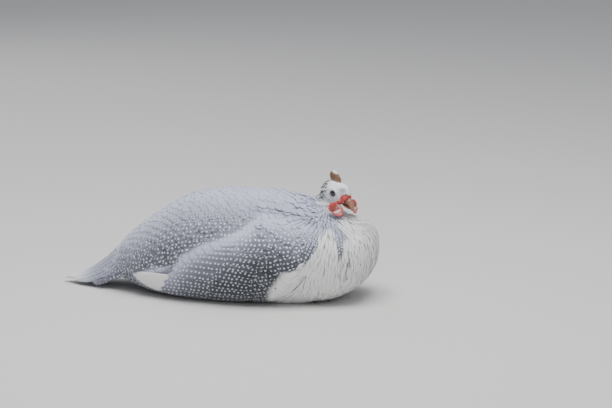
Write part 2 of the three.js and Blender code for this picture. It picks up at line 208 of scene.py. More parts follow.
# The head part of the skin is cut finer, laid back on the head's own form and given its lids, folds,
# knobs, wrinkles and ear cups.
head_form = clay("head_form", ["head", "eye_left", "eye_right"])
fine_head = tree_of(head_form)
bpy.data.objects.remove(head_form)
bm = bmesh.new()
bm.from_mesh(skin.data)
for _ in range(2):
    in_head = []
    for f in bm.faces:
        middle = np.array(f.calc_center_median())
        if in_head_frame(middle)[2] > -26 and from_head_middle(middle) < 27:
            in_head.append(f)
    head_edges = list({e for f in in_head for e in f.edges})
    bmesh.ops.subdivide_edges(bm, edges=head_edges, cuts=1, use_grid_fill=True)
bm.to_mesh(skin.data)
bm.free()
skin.data.shade_smooth()
co = points_of(skin)
bare = (1 - ease(20, 26, from_head_middle(co))) * ease(-19, -10, in_head_frame(co)[:, 2])
for i in np.nonzero(bare > 0.02)[0]:
    near = fine_head.find_nearest(Vector(co[i]))[0]
    co[i] += (np.array(near) - co[i]) * bare[i]
move_points(skin, co)
bm = bmesh.new()
bm.from_mesh(skin.data)
bm.verts.ensure_lookup_table()
soft = [bm.verts[i] for i in np.nonzero(bare > 0.05)[0]]
for _ in range(3):
    bmesh.ops.smooth_vert(bm, verts=soft, factor=0.5, use_axis_x=True, use_axis_y=True, use_axis_z=True)
bm.to_mesh(skin.data)
bm.free()

# Places on the head and the lifts of its surface are in millimetres, the same on both sides of it.
co = points_of(skin)
no = normals_of(skin)
local = in_head_frame(co)
fore, high = local[:, 0], local[:, 2]
mirror = local * (1, 0, 1) + np.abs(local) * (0, 1, 0)
eye_centre = np.array((2.8, 7.6, 0.8))
from_eye = distance_to(mirror - eye_centre, (1.0, 5.0, 0.3), (1, 0.55, 1.08))
lift = 1.2 * ridge(from_eye, 5.0, 0.8)
lift += 0.55 * ridge(from_eye, 7.6, 0.6)
lift -= 4.2 * (1 - ease(3.3, 4.3, from_eye))
from_ear = distance_to(mirror, (-10.5, 11.6, -3.5))
lift += 0.6 * ridge(from_ear, 2.8, 0.8) - 1.2 * ridge(from_ear, 0, 1.4)
wrinkle = np.sin(high * 2.2 + 2.2 * np.sin(fore * 0.45 + 1)) * np.sin(fore * 0.7 + high * 0.3)
off_crown = ease(12, 6, high)
lift += 0.55 * wrinkle * ease(7, 10, from_eye) * (0.35 + 0.65 * off_crown)
cheek_fold = high + 8.5 + 0.22 * (fore + 4) - 1.2 * np.sin(fore * 0.3)
lift += 0.9 * ridge(cheek_fold, 0, 1.0) * ease(14, 4, fore) * ease(4, 8, mirror[:, 1])
brow = high - 7.2 + 0.05 * (fore - 2) ** 2
lift += 0.8 * ridge(brow, 0, 1.3) * ease(6, 9, mirror[:, 1])
lift += 1.3 * ease(4.6, 2.2, distance_to(mirror, (19.5, 3.4, 0.6), (1.0, 0.8, 1.0)))
from_gape = distance_to(mirror, (16.4, 8.2, -6.2), (1.0, 0.8, 0.72))
pleats = np.sin(fore * 2.3 + 0.5 * high)
lift += (0.5 + 0.55 * pleats) * ease(4.4, 2.4, from_gape)
lift -= 1.5 * ridge(distance_to(mirror, (20.6, 4.6, -1.6), (0.8, 1, 1.2)), 0, 1.1)
co += no * (lift * mm * bare)[:, None]
rays = [outer.ray_cast(Vector(c - n * 0.1 * mm), Vector(-n))[3] for c, n in zip(co, no)]
through = np.array([reach or 0.2 for reach in rays])
depth = np.minimum(coat_depth, 0.33 * through)
co -= no * (depth * (1 - bare))[:, None]
co[:, 2] = np.maximum(co[:, 2], 0.2 * mm)
move_points(skin, co)


def whiteness(p):
    """How white the coat is at a place: the breast, the belly's front, the throat and the nape."""
    x, y, z = p[:, 0] / mm, np.abs(p[:, 1]) / mm, p[:, 2] / mm
    heights = (0, 27, 51, 55, 63, 77, 91, 100, 106, 116, 130)
    border = np.interp(z, heights, (60, 72, 90, 107, 121, 134, 134, 144, 157, 156, 150))
    streak = np.stack([x - np.interp(z, (64, 88, 102), (166, 164, 157)), 0.5 * (y - 58), 0.28 * (z - 86)])
    streaked = ridge(np.linalg.norm(streak, axis=0), 0, 10.5)
    nape = ease(34, 26, np.linalg.norm(in_head_frame(p), axis=1))
    return np.clip(np.maximum(ease(-5, 5, x - border) - 1.1 * streaked, nape), 0, 1)


def below_wing_edge(p):
    """How far a place lies below the folded wing's upper edge, in millimetres, or above it."""
    edge_x = (-132, -105, -66, -57, -30, 2, 24, 44, 52, 88, 109, 123)
    edge_z = (29, 42, 52, 65, 82, 94, 104, 119, 128, 122, 115, 114)
    return np.interp(p[:, 0] / mm, edge_x, edge_z) - p[:, 2] / mm


def below_back(p):
    """How far a place lies below the line of the back, in millimetres."""
    line_x = (-255, -236, -198, -178, -159, -140, -110, -70, -25, 25, 75, 115, 150)
    line_z = (4, 10, 33, 51, 74, 92, 112, 136, 147, 148, 145, 133, 119)
    return np.interp(p[:, 0] / mm, line_x, line_z) - p[:, 2] / mm


def on_wing_share(p):
    """1 where a place is on a folded wing, 0 where it is on the body."""
    x = p[:, 0] / mm
    return ease(-3, 3, below_wing_edge(p)) * ease(-140, -125, x) * ease(50 * mm, 60 * mm, np.abs(p[:, 1]))


def tone_of(p):
    """How light the grey is, partly the bird's own grey and partly painted light and shade from overhead:
    palest along the back and the wing's upper edge, darkest low down.
    """
    # Painted light and shade: the fall-off below the back and the wing's edge is partly the darker slate of
    # the lower feathers and partly painted shade, and the pale upper edges are partly painted sheen.
    body = np.exp(-np.maximum(below_back(p) - 3, 0) / 38)
    wing = np.exp(-np.maximum(below_wing_edge(p) - 8, 0) / 21)
    share = on_wing_share(p)
    return body * (1 - share) + wing * share


def set_values(piece, name, values):
    attribute = piece.data.attributes.get(name) or piece.data.attributes.new(name, "FLOAT", "POINT")
    attribute.data.foreach_set("value", np.asarray(values, np.float32))


edge_wave = 0.5 * np.sin(fore * 1.9 + high * 1.3) + 0.4 * np.sin(local[:, 1] * 1.7)
from_cere = distance_to(mirror, (20.8, 3, 1.2), (0.95, 0.6, 0.85))
red = 1 - np.minimum(ease(5.4, 6.3, from_cere + edge_wave), ease(3.4, 4.6, from_gape + edge_wave))
from_spot = distance_to(mirror, (13.5, 5.5, 11), (0.8, 0.7, 1.1))
set_values(skin, "bare", bare)
set_values(skin, "red", red * bare)
# The dark ring round the eye is partly the lids' own colour and partly painted shade.
set_values(skin, "lid_and_shade", ridge(from_eye, 4.5, 0.8) * bare)
# The ear cup's dark middle is painted shade of the ear opening.
set_values(skin, "dark", ridge(from_ear, 0, 1.5) * bare)
set_values(skin, "blue", ridge(from_spot, 0, 3.4) * bare)
set_values(skin, "fold", ridge(cheek_fold, -1.6, 1.1) * ease(14, 4, fore) * bare)
set_values(skin, "tone_and_shade", tone_of(co))
set_values(skin, "white", whiteness(co))


def new_material(name, roughness, coat=0.0, sheen=0.0, subsurface=0.0):
    material = bpy.data.materials.new(name)
    material.use_nodes = True
    shader = material.node_tree.nodes["Principled BSDF"]
    shader.inputs["Roughness"].default_value = roughness
    shader.inputs["Coat Weight"].default_value = coat
    shader.inputs["Sheen Weight"].default_value = sheen
    shader.inputs["Subsurface Weight"].default_value = subsurface
    shader.inputs["Subsurface Scale"].default_value = 0.002
    return material, material.node_tree, shader


def node(tree, kind, **settings):
    made = tree.nodes.new(kind)
    for key, value in settings.items():
        if key in made.inputs:
            made.inputs[key].default_value = value
        else:
            setattr(made, key, value)
    return made


def value_of(tree, name):
    return node(tree, "ShaderNodeAttribute", attribute_name=name).outputs["Fac"]


def mix(tree, share, first, second):
    """A colour between two, each a colour or another node's output."""
    made = node(tree, "ShaderNodeMix", data_type="RGBA")
    for socket, given in ((made.inputs[0], share), (made.inputs[6], first), (made.inputs[7], second)):
        if isinstance(given, bpy.types.NodeSocket):
            tree.links.new(given, socket)
        else:
            socket.default_value = given
    return made.outputs[2]


def sum_of(tree, operation, first, second=None, third=None):
    made = node(tree, "ShaderNodeMath", operation=operation)
    for socket, given in zip(made.inputs, (first, second, third)):
        if isinstance(given, bpy.types.NodeSocket):
            tree.links.new(given, socket)
        elif given is not None:
            socket.default_value = given
    return made.outputs[0]


# Bare or waxy skin: fine crossing creases over mottled blots.
creases = bpy.data.node_groups.new("skin_creases", "ShaderNodeTree")
for socket_name, kind, direction in (
    ("Size", "NodeSocketFloat", "INPUT"),
    ("Mottle", "NodeSocketFloat", "OUTPUT"),
    ("Height", "NodeSocketFloat", "OUTPUT"),
):
    creases.interface.new_socket(socket_name, in_out=direction, socket_type=kind)
group_in = node(creases, "NodeGroupInput")
group_out = node(creases, "NodeGroupOutput")
place = node(creases, "ShaderNodeTexCoord").outputs["Object"]
scaled = node(creases, "ShaderNodeVectorMath", operation="SCALE")
creases.links.new(place, scaled.inputs[0])
creases.links.new(group_in.outputs["Size"], scaled.inputs["Scale"])
cells = node(creases, "ShaderNodeTexVoronoi", feature="DISTANCE_TO_EDGE", Scale=900.0)
blots = node(creases, "ShaderNodeTexNoise", Scale=260.0, Detail=4.0)
creases.links.new(scaled.outputs[0], cells.inputs["Vector"])
creases.links.new(scaled.outputs[0], blots.inputs["Vector"])
crease_edge = sum_of(creases, "MINIMUM", cells.outputs["Distance"], 0.25)
crease_height = sum_of(creases, "MULTIPLY_ADD", crease_edge, 2.4, blots.outputs["Fac"])
creases.links.new(crease_height, group_out.inputs["Height"])
creases.links.new(blots.outputs["Fac"], group_out.inputs["Mottle"])


def add_creases(tree, shader, size, depth):
    group = tree.nodes.new("ShaderNodeGroup")
    group.node_tree = creases
    group.inputs["Size"].default_value = size
    bump = node(tree, "ShaderNodeBump", Distance=depth, Strength=0.6)
    tree.links.new(group.outputs["Height"], bump.inputs["Height"])
    tree.links.new(bump.outputs["Normal"], shader.inputs["Normal"])
    return group.outputs["Mottle"]


skin_paint, tree, shader = new_material("bare_skin", 0.5, subsurface=0.12)
mottle = add_creases(tree, shader, 1.0, 0.0004)
pale = mix(tree, mottle, (0.66, 0.69, 0.74, 1), (0.93, 0.94, 0.95, 1))
pale = mix(tree, value_of(tree, "fold"), pale, (0.50, 0.40, 0.36, 1))
pale = mix(tree, value_of(tree, "blue"), pale, (0.13, 0.15, 0.22, 1))
# The ring round the eye: partly the lids' own colour, partly painted shade.
pale = mix(tree, value_of(tree, "lid_and_shade"), pale, (0.17, 0.17, 0.15, 1))
# Painted shade of the ear opening in the middle of the ear cup.
pale = mix(tree, value_of(tree, "dark"), pale, (0.06, 0.05, 0.05, 1))
fleshy = mix(tree, mottle, (0.42, 0.035, 0.03, 1), (0.62, 0.12, 0.10, 1))
pale = mix(tree, value_of(tree, "red"), pale, fleshy)
# The covered skin's grey darkens low down as the feathers' does: partly its own colour, partly painted shade.
under_coat = mix(tree, value_of(tree, "tone_and_shade"), (0.03, 0.034, 0.042, 1), (0.42, 0.44, 0.53, 1))
under_coat = mix(tree, value_of(tree, "white"), under_coat, (0.72, 0.72, 0.71, 1))
covered = mix(tree, value_of(tree, "bare"), under_coat, pale)
tree.links.new(covered, shader.inputs["Base Color"])
skin.data.materials.clear()
skin.data.materials.append(skin_paint)
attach(skin, "root")
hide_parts("torso", "neck", "wing_left", "wing_right", "tail", "head")

# The body feathers: overlapping grey vanes in rows across the back and flanks, with pearl spots in
# even steps, and longer, looser white ones over the breast and neck. Each grows from the skin and
# lies back over the next row.
rng = np.random.default_rng(7)
row_pitch = 6.0 * mm
feather_pitch = 12.0 * mm
patch_size = 0.003
body_form = clay("body_form", ["torso", "neck", "wing_left", "wing_right", "tail"])
remould(body_form, 4 * mm, 8)
surface = tree_of(body_form)
surface_points = points_of(body_form)
surface_faces = np.array([list(f.vertices)[:3] for f in body_form.data.polygons])
bpy.data.objects.remove(body_form)
wing_trees = [tree_of(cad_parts[name]) for name in ("wing_left", "wing_right")]


def leaf(across, along, waist, shoulder, tip, bow):
    """One closed vane in its own measure: -1 to 1 across, 0 to 1 from root to tip, 0 or 1 through."""
    bm = bmesh.new()
    bmesh.ops.create_grid(bm, x_segments=across, y_segments=along, size=1)
    for v in bm.verts:
        t = (v.co.y + 1) / 2
        if t < shoulder:
            width = waist + (1 - waist) * math.sin(math.pi * t / shoulder / 2)
        else:
            width = 1 - (1 - tip) * ((t - shoulder) / (1 - shoulder)) ** 2
        v.co = (v.co.x * width, t - bow * v.co.x ** 2 * t ** 3, 0)
    bmesh.ops.solidify(bm, geom=bm.faces[:], thickness=1)
    bm.verts.index_update()
    co = np.array([v.co[:] for v in bm.verts])
    co[:, 2] = (co[:, 2] - co[:, 2].min()) / np.ptp(co[:, 2])
    faces = [[v.index for v in f.verts] for f in bm.faces]
    bm.free()
    return co, faces


def set_uv(mesh, name, uv):
    """A new UV map from one place for each vertex."""
    loops = np.empty(len(mesh.loops), np.int32)
    mesh.loops.foreach_get("vertex_index", loops)
    layer = mesh.uv_layers.new(name=name)
    layer.data.foreach_set("uv", uv.reshape(-1, 2)[loops].astype(np.float32).ravel())


def many(name, leaf_form, co, length, width, place):
    """One mesh of many vanes with the maps that their colours and the baked maps use."""
    unit, faces = leaf_form
    count, n = len(co), len(unit)
    co[:, :, 2] = np.maximum(co[:, :, 2], 0.3 * mm)
    mesh = bpy.data.meshes.new(name)
    all_faces = [[i * n + v for v in f] for i in range(count) for f in faces]
    mesh.from_pydata(co.reshape(-1, 3).tolist(), [], all_faces)
    piece = placed(name, mesh)
    mesh.shade_smooth()
    across, along = unit[None, :, 0], unit[None, :, 1]
    in_mm = [across * width[:, None] / 2 / mm, (1 - along) * length[:, None] / mm]
    set_uv(mesh, "Vane", np.stack(in_mm, 2))
    patch = [
        (across * 0.5 + 0.5) * patch_size + place[:, None, 0],
        along * patch_size + place[:, None, 1],
    ]
    set_uv(mesh, "OFBake", np.clip(np.stack(patch, 2), 0, 1))
    return piece


def plumes(name, leaf_form, line, normals, width, lifts, place):
    """Short feathers that bend from their roots over a middle point to their tips. The lifts are
    those of the root and the tip, the camber as a share of the width, and the vane's thickness."""
    unit, _ = leaf_form
    root, middle, tip = line
    a, b, layer = (unit[None, :, i] for i in range(3))
    part = [c[:, :, None] for c in ((1 - b) * (1 - 2 * b), 4 * b * (1 - b), b * (2 * b - 1))]
    co = part[0] * root[:, None] + part[1] * middle[:, None] + part[2] * tip[:, None]
    normal = normals[0][:, None] * (1 - b[:, :, None]) + normals[1][:, None] * b[:, :, None]
    normal /= np.linalg.norm(normal, axis=2, keepdims=True)
    along = tip - root
    side = np.cross(along[:, None], normal)
    side /= np.linalg.norm(side, axis=2, keepdims=True)
    root_lift, tip_lift, camber, thick = lifts
    height = root_lift + (tip_lift - root_lift)[:, None] * b ** 0.5
    height = height - camber * a ** 2 * width[:, None] + (layer - 1) * thick
    co += side * (a * width[:, None] / 2)[:, :, None] + normal * height[:, :, None]
    return many(name, leaf_form, co, np.linalg.norm(along, axis=1), width, place)


neck_top = np.array((131 * mm, 0, 150 * mm))


def near_neck(points):
    """How much shorter and finer the feathers are towards the neck."""
    return np.clip(np.linalg.norm(points - neck_top, axis=-1) / (75 * mm), 0.42, 1)


def unwrap(points):
    """A point's place on the skin unrolled round its length: along it and round it, from 0 to 1."""
    angle = np.arctan2(points[:, 1], points[:, 2] - 65 * mm) / (2 * math.pi) + 0.5
    return np.stack([(points[:, 0] + 0.26) / 0.47 * 0.99, angle * 0.99], 1)


def lie_on_body(points):
    """Which way feathers point: back along the body, and from the neck outwards over the breast."""
    back = np.array((-1.0, 0.0, -0.2))
    out = points - neck_top
    out /= np.linalg.norm(out, axis=1, keepdims=True)
    front = ease(55 * mm, 135 * mm, points[:, 0])[:, None]
    return back * (1 - front) + out * front


def settled(points, tree=surface):
    """The nearest places on the body's surface or another, with their outward normals."""
    found = [tree.find_nearest(Vector(p)) for p in points]
    return np.array([f[0][:] for f in found]), np.array([f[1][:] for f in found])


def grown(points, length, lie_at, waver):
    """Roots, middles and tips of feathers rooted at these points, and the skin's normals there."""
    root, root_normal = settled(points)
    lie = lie_at(root) + rng.normal(0, waver, root.shape)
    lie -= root_normal * np.sum(lie * root_normal, axis=1, keepdims=True)
    lie /= np.linalg.norm(lie, axis=1, keepdims=True)
    middle, _ = settled(root + lie * length[:, None] / 2)
    onward = middle - root
    onward /= np.linalg.norm(onward, axis=1, keepdims=True)
    tip, tip_normal = settled(middle + onward * length[:, None] / 2)
    return (root, middle, tip), (root_normal, tip_normal)


rear_x = (-255, -236, -217, -198, -178, -159, -140, -120)


def ring_at(x):
    """The body's contour at a place along it, as closely set points."""
    middle_height = np.interp(x / mm, rear_x, (3, 6, 11, 18, 29, 44, 56, 62))
    centre = Vector((x, 0, middle_height * mm))
    hits = []
    for turn in np.linspace(0, 2 * math.pi, 241)[:-1]:
        hit = surface.ray_cast(centre, Vector((0, math.sin(turn), math.cos(turn))))[0]
        if hit:
            hits.append(hit[:])
    return np.array(hits)


rows = []
for k, x in enumerate(np.arange(132 * mm, -182 * mm, -row_pitch)):
    ring = ring_at(x)
    if len(ring) < 200:
        continue
    travelled = np.concatenate([[0], np.cumsum(np.linalg.norm(np.roll(ring, -1, 0) - ring, axis=1))])
    number = max(8, round(travelled[-1] / feather_pitch))
    stops = (np.arange(number) + 0.5 * (k % 2)) / number * travelled[-1]
    closed = np.vstack([ring, ring[:1]])
    rows.append(np.stack([np.interp(stops, travelled, closed[:, i]) for i in range(3)], 1))
rowed = np.vstack(rows)
rowed += rng.normal(0, 0.35 * mm, rowed.shape)


def areas_of(corners):
    """Twice the areas of triangles."""
    return np.linalg.norm(np.cross(corners[:, 1] - corners[:, 0], corners[:, 2] - corners[:, 0]), axis=1)


def scattered(corners, weights, count):
    """Random places on triangles, more on those of a greater weight."""
    picked = rng.choice(len(weights), count, p=weights / weights.sum())
    return (corners[picked] * rng.dirichlet((1, 1, 1), count)[:, :, None]).sum(1)


# The breast's and neck's feathers are strewn evenly with no rows.
corners = surface_points[surface_faces]
thrown = scattered(corners, areas_of(corners) * (corners[:, :, 0].mean(1) > 84 * mm), 26000)
strewn = np.empty((0, 3))
spacing = 3.9 * mm
for p in thrown:
    if len(strewn) == 0 or np.min(np.sum((strewn - p) ** 2, 1)) > (spacing * near_neck(p) ** 0.6) ** 2:
        strewn = np.vstack([strewn, p])


def spots_of(p):
    """How strongly the pearl spots show: faint along the back and the wing's upper edge, and dimmer low on
    the wing, partly as painted shade.
    """
    share = on_wing_share(p)
    body = 0.3 + 0.6 * ease(6, 40, below_back(p))
    # Low on the wing the spots are dimmed, partly as painted shade.
    wing = (0.45 + 0.55 * ease(4, 20, below_wing_edge(p))) * (1 - 0.35 * ease(35, 75, below_wing_edge(p)))
    return body * (1 - share) + wing * share


def from_wings(points):
    """How far points are from the nearer wing."""
    return np.array([min(t.find_nearest(Vector(p))[3] for t in wing_trees) for p in points])


def seen_at(points, wing_gap, head_gap):
    """Which places are on the body's open surface, off the wings, the head and the floor."""
    root, normal = settled(points)
    by_edge = from_wings(root + (0, 0, 13 * mm)) > 3 * mm
    open_to_air = (from_wings(root) > wing_gap) | by_edge
    off_head = from_head_middle(root) > head_gap
    return open_to_air & (root[:, 2] > 4 * mm) & (normal[:, 2] > -0.9) & off_head


def past_border(points):
    """How far places lie in front of the line where the breast's feathers begin, in millimetres."""
    border_x = np.interp(points[:, 2] / mm, (0, 30, 60, 90, 130), (62, 74, 112, 118, 108))
    return points[:, 0] / mm - border_x


rowed = rowed[seen_at(rowed, 1.6 * mm, 31)]
strewn = strewn[seen_at(strewn, -1, 24)]
strewn = strewn[ease(-8, 14, past_border(strewn)) > rng.random(len(strewn))]
rowed = rowed[ease(24, 4, past_border(rowed)) > rng.random(len(rowed))]

body_leaf = leaf(5, 7, 0.35, 0.7, 0.62, 0.13)
breast_leaf = leaf(2, 7, 0.4, 0.5, 0.12, 0.1)

# How a feather is coloured: barbs slanting from its shaft over a grey between dark and light, or over
# white, and round pearl spots in nearly even steps back from its tip.
pattern = bpy.data.node_groups.new("feather_pattern", "ShaderNodeTree")
for socket_name, kind, direction in (
    ("Tone", "NodeSocketFloat", "INPUT"),
    ("White", "NodeSocketFloat", "INPUT"),
    ("Spots", "NodeSocketFloat", "INPUT"),
    ("Spot Step", "NodeSocketVector", "INPUT"),
    ("Spot Size", "NodeSocketFloat", "INPUT"),
    ("Dark", "NodeSocketColor", "INPUT"),
    ("Light", "NodeSocketColor", "INPUT"),
    ("Pearl", "NodeSocketColor", "INPUT"),
    ("Color", "NodeSocketColor", "OUTPUT"),
    ("Height", "NodeSocketFloat", "OUTPUT"),
):
    pattern.interface.new_socket(socket_name, in_out=direction, socket_type=kind)
group_in = node(pattern, "NodeGroupInput")
group_out = node(pattern, "NodeGroupOutput")
vane_uv = node(pattern, "ShaderNodeUVMap", uv_map="Vane").outputs["UV"]
split = node(pattern, "ShaderNodeSeparateXYZ")
pattern.links.new(vane_uv, split.inputs[0])
from_shaft = sum_of(pattern, "ABSOLUTE", split.outputs["X"])
slant = sum_of(pattern, "MULTIPLY_ADD", from_shaft, 0.8, split.outputs["Y"])
barb_line = node(pattern, "ShaderNodeCombineXYZ")
pattern.links.new(slant, barb_line.inputs["X"])
pattern.links.new(sum_of(pattern, "MULTIPLY", split.outputs["X"], 0.12), barb_line.inputs["Y"])
barbs = node(pattern, "ShaderNodeTexNoise", Scale=1.7, Detail=3.0)
pattern.links.new(barb_line.outputs[0], barbs.inputs["Vector"])
chevron = node(pattern, "ShaderNodeCombineXYZ")
pattern.links.new(split.outputs["X"], chevron.inputs["X"])
folded_up = sum_of(pattern, "MULTIPLY_ADD", from_shaft, 0.35, split.outputs["Y"])
pattern.links.new(folded_up, chevron.inputs["Y"])
stepped = node(pattern, "ShaderNodeVectorMath", operation="DIVIDE")
pattern.links.new(chevron.outputs[0], stepped.inputs[0])
pattern.links.new(group_in.outputs["Spot Step"], stepped.inputs[1])
pearls = node(pattern, "ShaderNodeTexVoronoi", voronoi_dimensions="2D", Scale=1.0, Randomness=0.26)
pattern.links.new(stepped.outputs[0], pearls.inputs["Vector"])
near_pearl = node(pattern, "ShaderNodeMapRange", interpolation_type="SMOOTHSTEP")
pattern.links.new(pearls.outputs["Distance"], near_pearl.inputs["Value"])
pattern.links.new(group_in.outputs["Spot Size"], near_pearl.inputs["From Min"])
pearl_core = sum_of(pattern, "MULTIPLY", group_in.outputs["Spot Size"], 0.5)
pattern.links.new(pearl_core, near_pearl.inputs["From Max"])
spot_mask = sum_of(pattern, "MULTIPLY", near_pearl.outputs["Result"], group_in.outputs["Spots"])
# This grey runs from dark low down to light high up: partly the feathers' own colour, partly painted light
# and shade.
grey = mix(pattern, group_in.outputs["Tone"], group_in.outputs["Dark"], group_in.outputs["Light"])
streaked = node(pattern, "ShaderNodeMix", data_type="RGBA", blend_type="MULTIPLY")
pattern.links.new(grey, streaked.inputs[6])
barb_range = {"From Min": 0.3, "From Max": 0.7, "To Min": 0.8, "To Max": 1.12}
barb_shade = node(pattern, "ShaderNodeMapRange", **barb_range)
pattern.links.new(barbs.outputs["Fac"], barb_shade.inputs["Value"])
pattern.links.new(barb_shade.outputs["Result"], streaked.inputs[7])
streaked.inputs[0].default_value = 0.8
whitened = mix(pattern, group_in.outputs["White"], streaked.outputs[2], (0.80, 0.80, 0.79, 1))
pattern.links.new(mix(pattern, spot_mask, whitened, group_in.outputs["Pearl"]), group_out.inputs["Color"])
pattern.links.new(barbs.outputs["Fac"], group_out.inputs["Height"])


def feather_material(name, step, size, dark, light, pearl):
    material, tree, shader = new_material(name, 0.72, sheen=0.25)
    group = tree.nodes.new("ShaderNodeGroup")
    group.node_tree = pattern
    for key, attribute in (("Tone", "tone_and_shade"), ("White", "white"), ("Spots", "spots")):
        tree.links.new(value_of(tree, attribute), group.inputs[key])
    group.inputs["Spot Step"].default_value = (*step, 1)
    group.inputs["Spot Size"].default_value = size
    for key, colour in (("Dark", dark), ("Light", light), ("Pearl", pearl)):
        group.inputs[key].default_value = (*colour, 1)
    bump = node(tree, "ShaderNodeBump", Distance=0.0002, Strength=0.5)
    tree.links.new(group.outputs["Height"], bump.inputs["Height"])
    tree.links.new(bump.outputs["Normal"], shader.inputs["Normal"])
    tree.links.new(group.outputs["Color"], shader.inputs["Base Color"])
    return material


# The dark end is the slate low on the body and wings, made darker still as painted shade.
dark_grey = (0.03, 0.034, 0.042)
light_grey = (0.49, 0.505, 0.65)
pearl_white = (0.70, 0.73, 0.80)
flank_paint = feather_material("flank_feathers", (6.0, 6.0), 0.29, dark_grey, light_grey, pearl_white)
back_paint = feather_material("back_feathers", (4.2, 4.2), 0.3, dark_grey, light_grey, pearl_white)


def dress(name, points, leaf_form, lie_at, size, material, streaky=False):
    """Short feathers of one zone, as one piece that rides on the bird. Streaky ones are each of one
    colour from root to tip."""
    length, width, tip_lift, thick = size
    lengths = length * rng.uniform(0.9, 1.12, len(points)) * near_neck(points)
    line, normals = grown(points, lengths, lie_at, 0.08 if streaky else 0.045)
    widths = width * rng.uniform(0.92, 1.08, len(points)) * near_neck(points) ** 0.7
    tip_lifts = tip_lift + rng.normal(0, 0.14 * mm, len(points))
    lifts = (-coat_depth, tip_lifts, 0.03, thick)
    piece = plumes(name, leaf_form, line, normals, widths, lifts, unwrap(line[0]))
    n = len(leaf_form[0])
    at = points_of(piece)
    white = whiteness(at)
    if streaky:
        white = np.repeat(ease(0.25, 0.75, whiteness(line[2]) + rng.normal(0, 0.16, len(points))), n)
    set_values(piece, "white", white)
    set_values(piece, "tone_and_shade", tone_of(at) + np.repeat(rng.normal(0, 0.03, len(points)), n))
    set_values(piece, "spots", (1 - white) * spots_of(at))
    piece.data.materials.append(material)
    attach(piece, "root")


x_mm, z_mm = rowed[:, 0] / mm, rowed[:, 2] / mm
body_size = (26 * mm, 15.5 * mm, 0.15 * mm, 0.2 * mm)
dress("coat_back", rowed[z_mm > 116], body_leaf, lie_on_body, body_size, back_paint)
dress("coat_flanks", rowed[(z_mm <= 116) & (x_mm > -60)], body_leaf, lie_on_body, body_size, flank_paint)
dress("coat_rump", rowed[(z_mm <= 116) & (x_mm <= -60)], body_leaf, lie_on_body, body_size, flank_paint)
breast_size = (28 * mm, 4.0 * mm, 0.55 * mm, 0.2 * mm)
for number, (low, high) in enumerate(((-200, -30), (-30, 30), (30, 200)), 1):
    zone = strewn[(strewn[:, 1] > low * mm) & (strewn[:, 1] <= high * mm)]
    dress(f"coat_breast_{number}", zone, breast_leaf, lie_on_body, breast_size, back_paint, streaky=True)

# The wings' feathers, folded along the flanks: cream-white ends of the long outer quills lowest, then
# the inner quills and their great coverts laid like tiles, and small spotted coverts over the front.
wing_front = np.array((120.0, 76.0))
wing_along = np.array((-0.983, -0.182))
wing_up = np.array((-0.182, 0.983))


def against(x, z, side):
    """The place on the body's side at this distance along it and this height."""
    hit = outer.ray_cast(Vector((x, side * 0.3, z)), Vector((0, -side, 0)))[0]
    return hit[:] if hit else outer.find_nearest(Vector((x, side * 0.06, z)))[0][:]


def lay_vanes(name, leaf_form, side, ends, width, lift, tilt, material):
    """Long vanes laid against the body's side. Their ends are given as along and up in millimetres;
    the lower edge of each lies over the next one's upper edge."""
    unit, _ = leaf_form
    n = len(unit)
    a, b, layer = (unit[None, :, i] for i in range(3))
    ends = np.array(ends, float)
    root, tip = ends[:, None, :2], ends[:, None, 2:]
    along = tip - root
    length = np.linalg.norm(along, axis=2)
    down = np.stack([along[:, :, 1], -along[:, :, 0]], 2) / length[:, :, None]
    down *= np.where(down[:, :, 1:] > 0, -1, 1)
    flat = root + along * b[:, :, None] + down * (a * width / 2)[:, :, None]
    flat[:, :, 1] += 5 * (b * (1 - b))
    base = np.array([against(x * mm, z * mm, side) for x, z in flat.reshape(-1, 2)]).reshape(len(ends), n, 3)
    rise = -2.4 + (lift + 2.4) * ease(0, 0.35, b) + tilt * a + 0.45 * layer * (1 - 0.7 * a ** 2)
    base[:, :, 1] += side * rise * mm
    spot_start = (length[:, 0] + rng.uniform(-3, 3, len(ends))) * mm
    piece = many(name, leaf_form, base, spot_start, np.full(len(ends), width * mm), unwrap(base[:, 0]))
    at = points_of(piece)
    set_values(piece, "tone_and_shade", tone_of(at) + np.repeat(rng.normal(0, 0.03, len(ends)), n))
    set_values(piece, "white", np.zeros(len(at)))
    set_values(piece, "spots", spots_of(at))
    piece.data.materials.append(material)
    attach(piece, "root")
    return piece


def spread(count, roots, tips):
    """Evenly spread vane ends between the first and last of the roots and along a line of tips."""
    share = np.linspace(0, 1, count)
    tips = np.array(tips, float)
    at = np.linspace(0, 1, len(tips))
    root = np.array(roots[0], float) + np.outer(share, np.array(roots[1], float) - roots[0])
    return np.hstack([root, np.stack([np.interp(share, at, tips[:, i]) for i in (0, 1)], 1)])


quill_leaf = leaf(8, 26, 0.5, 0.86, 0.42, 0.05)
ladder_paint = feather_material("wing_quills", (7.6, 4.4), 0.3, dark_grey, light_grey, pearl_white)
cream_paint = feather_material("cream_quills", (6.0, 6.0), 0.3, dark_grey, light_grey, pearl_white)


def lie_on_wing(points):
    return np.broadcast_to(np.array((-0.975, 0, -0.2)), points.shape)


def lie_on_shoulder(points):
    return np.broadcast_to(np.array((-0.88, 0, -0.42)), points.shape)


